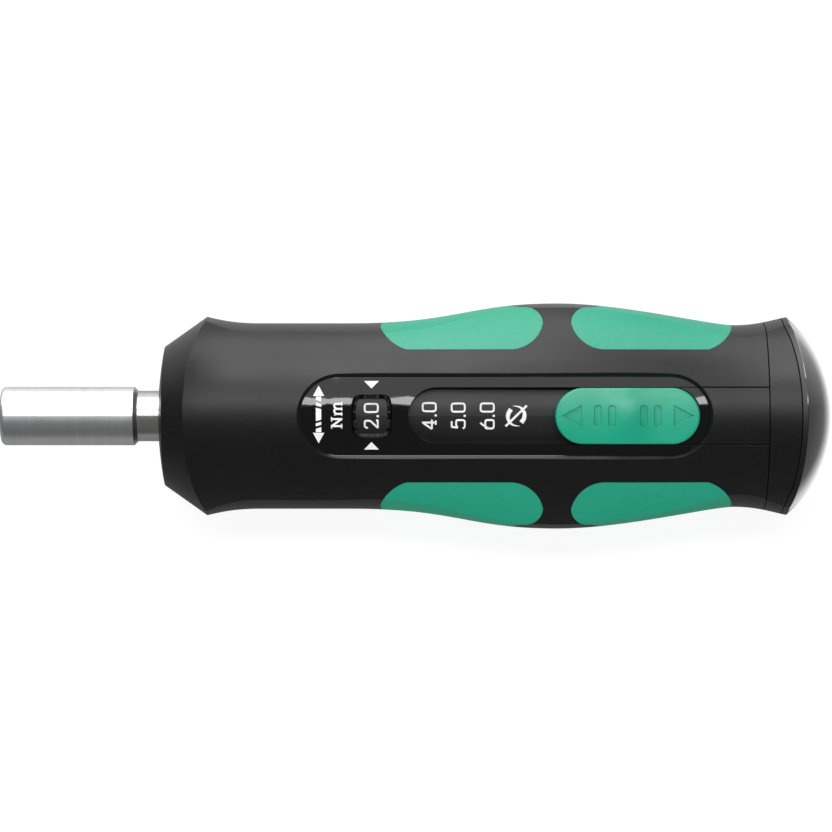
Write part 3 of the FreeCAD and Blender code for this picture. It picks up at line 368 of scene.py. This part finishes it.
def turned_metal(name, colour, roughness, lines, depth, swing=0.08, edge=0.08):
    """Lathe-turned metal with its tool lines."""
    material, tree, shader = finish(name, Metallic=1.0)
    place = object_place(tree)
    tool = use(tree, TURNED_LINES, Place=place, Lines=lines)
    hands = use(tree, HANDLING, Place=place, Patches=160.0)
    darker = tuple(0.86 * part for part in colour[:3]) + (1,)
    tree.links.new(blend_colours(tree, tool["Tone"], darker, colour), shader.inputs["Base Color"])
    lined = calc(tree, "MULTIPLY_ADD", tool["Height"], swing, roughness - swing / 2)
    tree.links.new(calc(tree, "MULTIPLY_ADD", hands["Shift"], 0.03, lined),
                   shader.inputs["Roughness"])
    edges = use(tree, ROUNDED_EDGES, Radius=edge * MM)
    raise_surface(tree, shader, tool["Height"], depth * MM, edges["Normal"])
    return material


def printing_ink():
    """White pad-printing ink, slightly uneven where it is thin."""
    material, tree, shader = finish("white printing ink")
    place = object_place(tree)
    grain = use(tree, MOULDED_GRAIN, Place=place, Grains=6000.0)
    tree.links.new(blend_colours(tree, grain["Tone"], (0.80, 0.80, 0.79, 1), (0.92, 0.92, 0.91, 1)),
                   shader.inputs["Base Color"])
    tree.links.new(calc(tree, "MULTIPLY_ADD", grain["Height"], 0.2, 0.4),
                   shader.inputs["Roughness"])
    return material


INK = printing_ink()
FINISHES = {
    "black_shell": shell_plastic(),
    "black_dome": end_cap_plastic(),
    "green_grip": moulded_plastic("soft green grip", (0.003, 0.30, 0.178, 1),
                                  (0.008, 0.345, 0.21, 1), 0.47, 3600.0, 0.02),
    "green_button": moulded_plastic("green slider button", (0.004, 0.31, 0.185, 1),
                                    (0.010, 0.36, 0.22, 1), 0.36, 5200.0, 0.006, edge=0.12),
    "dark_scale": moulded_plastic("dark scale strip", (0.008, 0.008, 0.009, 1),
                                  (0.012, 0.012, 0.013, 1), 0.36, 5000.0, 0.004,
                                  Specular_IOR_Level=0.3),
    "satin_sleeve": turned_metal("satin nickel sleeve", (0.80, 0.81, 0.82, 1), 0.36, 9000.0, 0.001),
    "turned_steel": turned_metal("turned steel", (0.62, 0.62, 0.61, 1), 0.24, 7000.0, 0.002),
    "hard_steel": turned_metal("ground hardened steel", (0.50, 0.50, 0.51, 1), 0.2, 11000.0, 0.001),
    "spring_steel": turned_metal("blued spring steel", (0.20, 0.21, 0.25, 1), 0.3, 6000.0, 0.001),
    "magnet": turned_metal("plated magnet", (0.66, 0.66, 0.67, 1), 0.16, 5000.0, 0.0005),
    "bearing_brass": turned_metal("bearing brass", (0.72, 0.50, 0.22, 1), 0.28, 6500.0, 0.0015),
    "cast_frame": moulded_plastic("cast frame", (0.30, 0.30, 0.31, 1), (0.38, 0.38, 0.39, 1), 0.5,
                                  2400.0, 0.03, Metallic=1.0),
    "slide_plastic": moulded_plastic("slide plastic", (0.030, 0.030, 0.032, 1),
                                     (0.04, 0.04, 0.042, 1), 0.42, 4000.0, 0.008),
    "black_screw": turned_metal("blackened screw", (0.045, 0.045, 0.05, 1), 0.32, 6000.0, 0.001),
}
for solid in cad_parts.values():
    solid.data.materials[0] = FINISHES[solid.data.materials[0].name]


# ---------------------------------------------------------------------------
# Print
# ---------------------------------------------------------------------------

def surface_of(node):
    """A solid's surface, for laying print on it."""
    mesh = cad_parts[node].data
    return BVHTree.FromPolygons([v.co for v in mesh.vertices], [p.vertices for p in mesh.polygons])


def cut_across(bm, step):
    """Cuts the mesh at even steps in X and Y, so that it can follow a curved surface."""
    for axis, normal in ((0, (1, 0, 0)), (1, (0, 1, 0))):
        low = min(v.co[axis] for v in bm.verts)
        high = max(v.co[axis] for v in bm.verts)
        for index in range(1, int((high - low) / step) + 1):
            place = [0.0, 0.0, 0.0]
            place[axis] = low + index * step
            bmesh.ops.bisect_plane(bm, geom=bm.verts[:] + bm.edges[:] + bm.faces[:],
                                   plane_co=place, plane_no=normal)


def lay_print(name, bm, surface, body):
    """Lays flat ink, drawn in mm on the tool's XY plane, on the surface below it."""
    cut_across(bm, DRAPE_STEP)
    bmesh.ops.recalc_face_normals(bm, faces=bm.faces)
    for vertex in bm.verts:
        x, y, z = vertex.co * MM
        ground = surface.ray_cast(Vector((x, y, 0.05)), Vector((0, 0, -1)))[0]
        vertex.co = (x, y, ground.z + INK_LIFT * MM + z)
    mesh = bpy.data.meshes.new(name)
    bm.to_mesh(mesh)
    bm.free()
    mesh.materials.append(INK)
    piece = bpy.data.objects.new(name, mesh)
    bpy.context.scene.collection.objects.link(piece)
    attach(piece, body)
    return piece


def plate(bm, outline):
    """Adds a flat plate of ink with this outline, in mm."""
    face = bm.faces.new([bm.verts.new((x, y, -INK_HALF_THICKNESS)) for x, y in outline])
    raised = bmesh.ops.extrude_face_region(bm, geom=[face])["geom"]
    bmesh.ops.translate(bm, vec=(0, 0, 2 * INK_HALF_THICKNESS),
                        verts=[e for e in raised if isinstance(e, bmesh.types.BMVert)])


def pen_line(bm, points, width, closed=False, swell=None, turn=Matrix.Identity(4)):
    """Adds one smooth pen line of ink. swell is the width's share at each point."""
    curve = bpy.data.curves.new("pen line", "CURVE")
    curve.dimensions = "3D"
    curve.bevel_depth = width / 2
    curve.bevel_resolution = 1
    curve.resolution_u = 5
    curve.use_fill_caps = True
    spline = curve.splines.new("NURBS")
    spline.points.add(len(points) - 1)
    for index, (x, y) in enumerate(points):
        spline.points[index].co = (x, y, 0, 1)
        spline.points[index].radius = swell[index] if swell else 1.0
    spline.order_u = 3
    spline.use_cyclic_u = closed
    spline.use_endpoint_u = not closed
    holder = bpy.data.objects.new("pen line", curve)
    mesh = bpy.data.meshes.new_from_object(holder)
    mesh.transform(turn @ Matrix.Diagonal((1, 1, 2 * INK_HALF_THICKNESS / width, 1)))
    bm.from_mesh(mesh)
    bpy.data.objects.remove(holder)
    bpy.data.curves.remove(curve)
    bpy.data.meshes.remove(mesh)


# Each figure is drawn on its centre lines: (closed?, points), in mm, from its lower left corner.
FIGURES = {
    "0": (1.44, [(True, [(0.0, 1.14), (0.0, 2.28), (0.72, 2.28), (1.44, 2.28), (1.44, 1.14),
                         (1.44, 0.0), (0.72, 0.0), (0.0, 0.0)])]),
    "2": (1.34, [(False, [(0.02, 1.72), (0.1, 2.28), (0.68, 2.28), (1.28, 2.28), (1.28, 1.66),
                          (1.28, 1.3), (0.9, 0.92), (0.04, 0.0)]),
                 (False, [(0.0, 0.0), (1.34, 0.0)]), (False, [(1.34, -0.1), (1.34, 0.3)])]),
    "3": (1.34, [(False, [(0.05, 2.28), (1.2, 2.28)]), (False, [(1.2, 2.28), (0.55, 1.4)]),
                 (False, [(0.55, 1.4), (1.34, 1.4), (1.34, 0.7), (1.34, 0.0), (0.66, 0.0),
                          (0.12, 0.0), (0.0, 0.45)])]),
    "4": (1.62, [(False, [(1.1, 2.28), (0.0, 0.68)]), (False, [(0.0, 0.68), (1.62, 0.68)]),
                 (False, [(1.1, 2.4), (1.1, 0.0)]), (False, [(0.72, 0.0), (1.5, 0.0)])]),
    "5": (1.46, [(False, [(1.28, 2.28), (0.22, 2.28)]), (False, [(0.26, 2.28), (0.14, 1.22)]),
                 (False, [(0.14, 1.22), (0.4, 1.5), (0.76, 1.5), (1.46, 1.5), (1.46, 0.75),
                          (1.46, 0.0), (0.7, 0.0), (0.15, 0.0), (0.0, 0.35)])]),
    "6": (1.48, [(True, [(0.0, 0.74), (0.0, 1.48), (0.74, 1.48), (1.48, 1.48), (1.48, 0.74),
                         (1.48, 0.0), (0.74, 0.0), (0.0, 0.0)]),
                 (False, [(0.06, 0.95), (0.2, 1.3), (0.98, 2.36)])]),
    ".": (0.06, [(False, [(0.03, -0.18), (0.03, 0.2)])]),
}
POINT_GAP = 0.7


def upright_to_tool(x, y=0.0):
    """Turns lettering to read from the tool's right to its left, its middle at (x, y)."""
    return Matrix.Translation((x, y, 0)) @ Matrix.Rotation(math.pi / 2, 4, "Z")


def draw_value(bm, text, x):
    """Draws one of the scale's values, centred at x."""
    widths = [FIGURES[figure][0] for figure in text]
    total = sum(widths) + (len(text) - 1) * POINT_GAP
    start = -total / 2
    for figure, width in zip(text, widths):
        turn = upright_to_tool(x) @ Matrix.Translation((start, -FIGURE_HEIGHT / 2, 0))
        for closed, points in FIGURES[figure][1]:
            pen_line(bm, points, STROKE, closed, turn=turn)
        start += width + POINT_GAP


def print_scale(surface):
    """The torque values, which travel with the strip."""
    for step, text in enumerate(SCALE_VALUES):
        bm = bmesh.new()
        draw_value(bm, text, WINDOW_X - 0.05 + step * SCALE_STEP)
        lay_print("scale_value_" + text.replace(".", "_"), bm, surface, "selector")


def print_lock_sign(surface):
    """Two crescents crossed by a bar: the setting in which the clutch is locked."""
    bm = bmesh.new()
    middle = WINDOW_X - 0.05 + len(SCALE_VALUES) * SCALE_STEP
    radius, thick = 1.87, 0.82
    shares = (1.0, 1.0, 0.9, 0.72, 0.5, 0.28, 0.06)
    for half_turn in (0.0, math.pi):
        points = []
        for index, share in enumerate(shares):
            angle = math.radians(128 + 27 * index) + half_turn
            reach = radius - thick * share / 2
            points.append((reach * math.cos(angle), reach * math.sin(angle)))
        pen_line(bm, points, thick, swell=shares, turn=Matrix.Translation((middle, 0, 0)))
    pen_line(bm, [(middle - 1.85, -1.8), (middle + 1.85, 1.8)], 0.4)
    lay_print("lock_sign", bm, surface, "selector")


def across_shaft(side, place, slant=0.0):
    """The arrow shaft's two edges at a place on one side of its middle, cut at a slant."""
    return [(ARROW_X - SHAFT_HALF_WIDTH, ARROW_MIDDLE_Y + side * (place + slant)),
            (ARROW_X + SHAFT_HALF_WIDTH, ARROW_MIDDLE_Y + side * (place - slant))]


def dash(bm, first, second):
    """One dash of the arrow's shaft between two cuts."""
    plate(bm, first + second[::-1])


def print_adjusting_arrow(surface):
    """A double arrow whose shaft is broken by slanted gaps: the way the setting changes."""
    bm = bmesh.new()
    for side in (1, -1):
        base, tip = ARROW_MIDDLE_Y + side * 3.2, ARROW_MIDDLE_Y + side * 5.02
        plate(bm, [(ARROW_X - HEAD_HALF_WIDTH, base), (ARROW_X + HEAD_HALF_WIDTH, base),
                   (ARROW_X, tip)])
        dash(bm, across_shaft(side, 3.1), across_shaft(side, 2.37, SHAFT_SLANT))
        dash(bm, across_shaft(side, 1.94, SHAFT_SLANT), across_shaft(side, 1.42, SHAFT_SLANT))
    dash(bm, across_shaft(1, 1.04, SHAFT_SLANT), across_shaft(-1, 1.04, SHAFT_SLANT))
    lay_print("adjusting_arrow", bm, surface, "handle")


def print_window_pointers(surface):
    """The two triangles that point at the value in the window."""
    bm = bmesh.new()
    for side in (1, -1):
        plate(bm, [(WINDOW_X - 1.3, 0.13 + side * 5.97), (WINDOW_X + 1.3, 0.13 + side * 5.97),
                   (WINDOW_X, 0.13 + side * 4.66)])
    lay_print("window_pointers", bm, surface, "handle")


def print_unit(surface):
    """The unit in bold slab letters: N and m."""
    bm = bmesh.new()
    turn = upright_to_tool(UNIT_X, 0.1) @ Matrix.Translation((-2.37, -1.0, 0))
    stem, foot = 0.36, 0.2
    for points, width in (
            ([(0.5, 0.0), (0.5, 2.0)], stem), ([(1.72, 0.0), (1.72, 2.0)], stem),
            ([(0.5, 1.85), (1.72, 0.15)], stem),
            ([(0.08, 0.12), (0.92, 0.12)], foot), ([(0.08, 1.88), (0.7, 1.88)], foot),
            ([(1.3, 1.88), (2.1, 1.88)], foot),
            ([(2.62, 0.0), (2.62, 1.4)], stem), ([(3.5, 0.0), (3.5, 1.05)], stem),
            ([(4.38, 0.0), (4.38, 1.05)], stem),
            ([(2.62, 0.95), (2.8, 1.42), (3.5, 1.42), (3.5, 0.9)], 0.36),
            ([(3.5, 0.95), (3.7, 1.42), (4.38, 1.42), (4.38, 0.9)], 0.36),
            ([(2.3, 0.12), (2.94, 0.12)], foot), ([(3.2, 0.12), (3.8, 0.12)], foot),
            ([(4.08, 0.12), (4.72, 0.12)], foot), ([(2.3, 1.32), (2.7, 1.32)], foot)):
        pen_line(bm, points, width, turn=turn)
    lay_print("unit", bm, surface, "handle")


strip_top = surface_of("scale_strip")
print_scale(strip_top)
print_lock_sign(strip_top)
panel_floor = surface_of("handle_body")
print_adjusting_arrow(panel_floor)
print_window_pointers(panel_floor)
print_unit(panel_floor)


# ---------------------------------------------------------------------------
# Stage
# ---------------------------------------------------------------------------

# The middle of the tool along X, which the lamps face, in metres.
MIDDLE_X = 0.0735

# Watts for each square metre of a lamp at level 1.
LAMP_POWER = 4

# What the backdrop adds of its own to its lit colour: to the eye, and in reflections, where it
# is dim on the near side and glows white on the far side and behind the dome, a painted reflection
# that stands in for floor lit by the lamps.
SEEN_WHITE = 0.86
PAINTED_REFLECTION_LEVELS = (0.1, 0.85)


def backdrop_finish():
    """Pale card: plain white to the eye, with a soft shadow on it; in reflections it glows dim on
    the near side and white on the far side and behind the dome, as painted reflection.
    """
    material, tree, shader = finish("pale backdrop", Base_Color=(0.22, 0.22, 0.22, 1),
                                    Roughness=0.9)
    shader.inputs["Specular IOR Level"].default_value = 0.0
    rays = add(tree, "LightPath").outputs
    mirrored = calc(tree, "MAXIMUM", rays["Is Glossy Ray"], rays["Is Transmission Ray"])
    parts = add(tree, "SeparateXYZ", {0: object_place(tree)}).outputs
    # Painted reflection: where the backdrop glows brighter in reflections, on the far side and
    # behind the dome.
    far_side = add(tree, "MapRange", {"Value": parts["Y"], "From Min": 0.004, "From Max": 0.04})
    past_dome = add(tree, "MapRange", {"Value": parts["X"], "From Min": 0.142, "From Max": 0.148})
    near_dome = add(tree, "MapRange", {"Value": parts["X"], "From Min": 0.169, "From Max": 0.155})
    by_dome = calc(tree, "MULTIPLY", past_dome.outputs[0], near_dome.outputs[0])
    from_middle = calc(tree, "ABSOLUTE", calc(tree, "SUBTRACT", parts["X"], MIDDLE_X))
    beside = add(tree, "MapRange", {"Value": from_middle, "From Min": 0.22, "From Max": 0.09})
    far_beside = calc(tree, "MULTIPLY", far_side.outputs[0], beside.outputs[0])
    bright = calc(tree, "MAXIMUM", far_beside, by_dome)
    level = calc(tree, "MULTIPLY_ADD", rays["Is Camera Ray"], SEEN_WHITE,
                 calc(tree, "MULTIPLY", mirrored, blend_values(tree, bright, *PAINTED_REFLECTION_LEVELS)))
    white = add(tree, "Emission", {"Color": (1, 1, 1, 1), "Strength": level})
    both = add(tree, "AddShader", {0: shader.outputs[0], 1: white.outputs[0]})
    behind = add(tree, "MixShader", {0: add(tree, "NewGeometry").outputs["Backfacing"],
                                     1: both.outputs[0],
                                     2: add(tree, "BsdfTransparent").outputs[0]})
    tree.links.new(behind.outputs[0], tree.nodes["Material Output"].inputs["Surface"])
    return material


def backdrop(level):
    """A round floor whose rim rises into a wall, under and round the tool."""
    bm = bmesh.new()
    profile = [(0, 0), (1.2, 0), (1.7, 0.15), (2.0, 0.6), (2.1, 1.4)]
    chain = [bm.verts.new((x, 0, z)) for x, z in profile]
    edges = [bm.edges.new(pair) for pair in zip(chain, chain[1:])]
    bmesh.ops.spin(bm, geom=chain + edges, cent=(0, 0, 0), axis=(0, 0, 1), angle=math.tau,
                   steps=48, use_merge=True)
    bmesh.ops.remove_doubles(bm, verts=bm.verts, dist=1e-5)
    bmesh.ops.recalc_face_normals(bm, faces=bm.faces)
    if sum(face.normal.z * face.calc_area() for face in bm.faces) < 0:
        bmesh.ops.reverse_faces(bm, faces=bm.faces)
    bmesh.ops.translate(bm, vec=(MIDDLE_X, 0, level), verts=bm.verts)
    mesh = bpy.data.meshes.new("backdrop")
    bm.to_mesh(mesh)
    bm.free()
    mesh.shade_smooth()
    mesh.materials.append(backdrop_finish())
    stage = bpy.data.objects.new("backdrop", mesh)
    bpy.context.scene.collection.objects.link(stage)


def softbox(name, place, width, height, level, mirrored=True, lighting=True):
    """An even rectangular lamp that faces the tool's middle.

    mirrored says whether it shows in gloss, and lighting whether it lights what is matt.
    """
    lamp = bpy.data.lights.new(name, "AREA")
    lamp.shape = "RECTANGLE"
    lamp.size, lamp.size_y = width, height
    lamp.energy = level * LAMP_POWER * width * height
    holder = bpy.data.objects.new(name, lamp)
    bpy.context.scene.collection.objects.link(holder)
    holder.location = place
    holder.visible_glossy = mirrored
    holder.visible_diffuse = lighting
    facing = Vector((MIDDLE_X, 0, 0)) - Vector(place)
    holder.rotation_euler = facing.to_track_quat("-Z", "Y").to_euler()


def overcast(level):
    """An even grey surround, and plain white where the camera looks past the backdrop."""
    world = bpy.data.worlds.new("studio")
    bpy.context.scene.world = world
    world.use_nodes = True
    tree = world.node_tree
    surround = tree.nodes["Background"]
    surround.inputs["Color"].default_value = (1, 1, 1, 1)
    seen = add(tree, "LightPath").outputs["Is Camera Ray"]
    tree.links.new(blend_values(tree, seen, level, 1.0), surround.inputs["Strength"])


backdrop(cad_box[0].z)
overcast(0.16)
softbox("high strip", (MIDDLE_X, 0.152, 0.546), 0.6, 0.068, 8.0)
softbox("upper fill", (MIDDLE_X, 0.338, 0.534), 0.7, 0.29, 1.0)
softbox("key", (-0.12, 0.6, 0.22), 0.9, 0.42, 3.6)
softbox("front glow", (0.02, 0.46, 0.45), 0.22, 0.17, 7.0, lighting=False)
softbox("near fill", (MIDDLE_X, -0.6, 0.3), 0.8, 0.4, 2.5, mirrored=False)

camera = bpy.data.cameras.new("camera")
camera.lens = 146.1
camera.clip_start = 0.02
camera_holder = bpy.data.objects.new("camera", camera)
bpy.context.scene.collection.objects.link(camera_holder)
camera_holder.location = (0.07354, 0, 0.6)
bpy.context.scene.camera = camera_holder

bpy.context.scene.view_settings.view_transform = "Standard"
